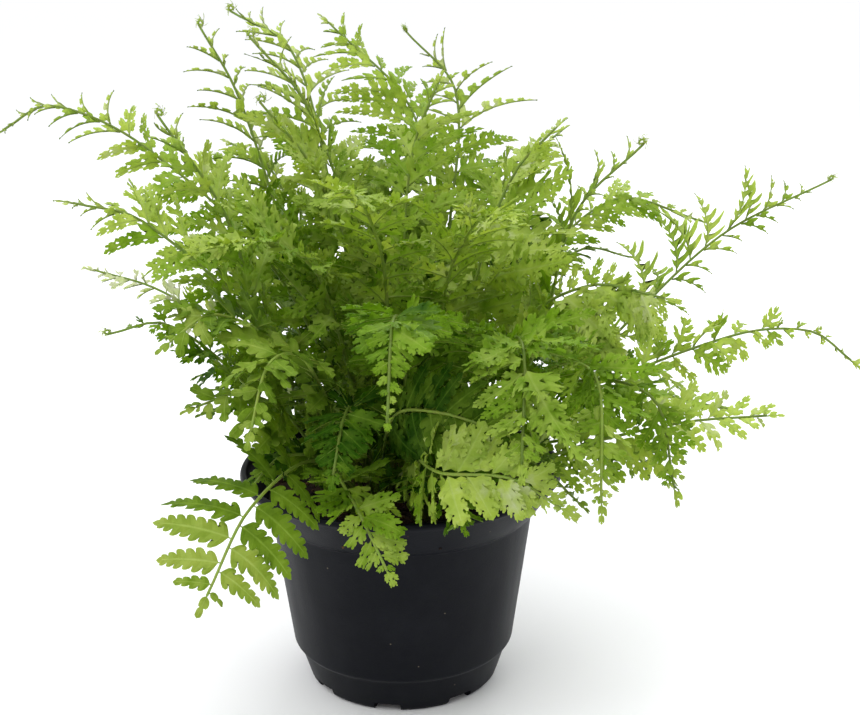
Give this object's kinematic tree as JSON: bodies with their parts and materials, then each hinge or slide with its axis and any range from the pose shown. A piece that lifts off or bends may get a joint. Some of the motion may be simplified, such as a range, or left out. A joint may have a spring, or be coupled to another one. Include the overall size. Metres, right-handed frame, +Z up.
{
  "type": "potted boston fern",
  "caption": "Young Boston fern with ruffled, finely lobed leaflets: fronds arch out as a loose fountain from a tapered black plastic nursery pot with a flared collar.",
  "frame": {"origin": "centre of the pot's underside, on the surface that the pot stands on", "axes": "+Z up along the pot's axis, -Y toward the viewer of the picture, +X to that viewer's right"},
  "size_m": [0.2935, 0.2405, 0.2372],
  "materials": {
    "moulded_plastic": "satin",
    "peat_mix": "matte",
    "frond_young": "satin",
    "frond_mature": "satin"
  },
  "bodies": {
    "root": {"pot": "moulded_plastic", "potting_mix": "peat_mix", "frond_01": "frond_mature", "frond_02": "frond_young", "frond_03": "frond_mature", "frond_04": "frond_mature", "frond_05": "frond_mature", "frond_06": "frond_young", "frond_07": "frond_young", "frond_08": "frond_young", "frond_09": "frond_young", "frond_10": "frond_mature", "frond_11": "frond_young", "frond_12": "frond_mature", "frond_13": "frond_young", "frond_14": "frond_young", "frond_15": "frond_mature", "frond_16": "frond_young", "frond_17": "frond_mature", "frond_18": "frond_mature", "frond_19": "frond_young", "frond_20": "frond_young", "frond_21": "frond_young", "frond_22": "frond_young", "frond_23": "frond_young", "frond_24": "frond_young", "frond_25": "frond_young", "frond_26": "frond_young", "frond_27": "frond_young", "frond_28": "frond_mature", "frond_29": "frond_young", "frond_30": "frond_mature", "frond_31": "frond_mature", "frond_32": "frond_mature", "frond_33": "frond_mature", "frond_34": "frond_young", "frond_35": "frond_young", "frond_36": "frond_young", "frond_37": "frond_mature", "frond_38": "frond_mature", "frond_39": "frond_young", "frond_40": "frond_mature", "frond_41": "frond_young", "frond_42": "frond_mature", "frond_43": "frond_mature", "frond_44": "frond_mature", "frond_45": "frond_mature", "frond_46": "frond_mature", "frond_47": "frond_mature", "frond_48": "frond_mature", "frond_49": "frond_mature", "frond_50": "frond_mature", "frond_51": "frond_mature", "frond_52": "frond_mature", "frond_53": "frond_mature", "frond_54": "frond_mature", "frond_55": "frond_mature"}
  },
  "joints": []
}
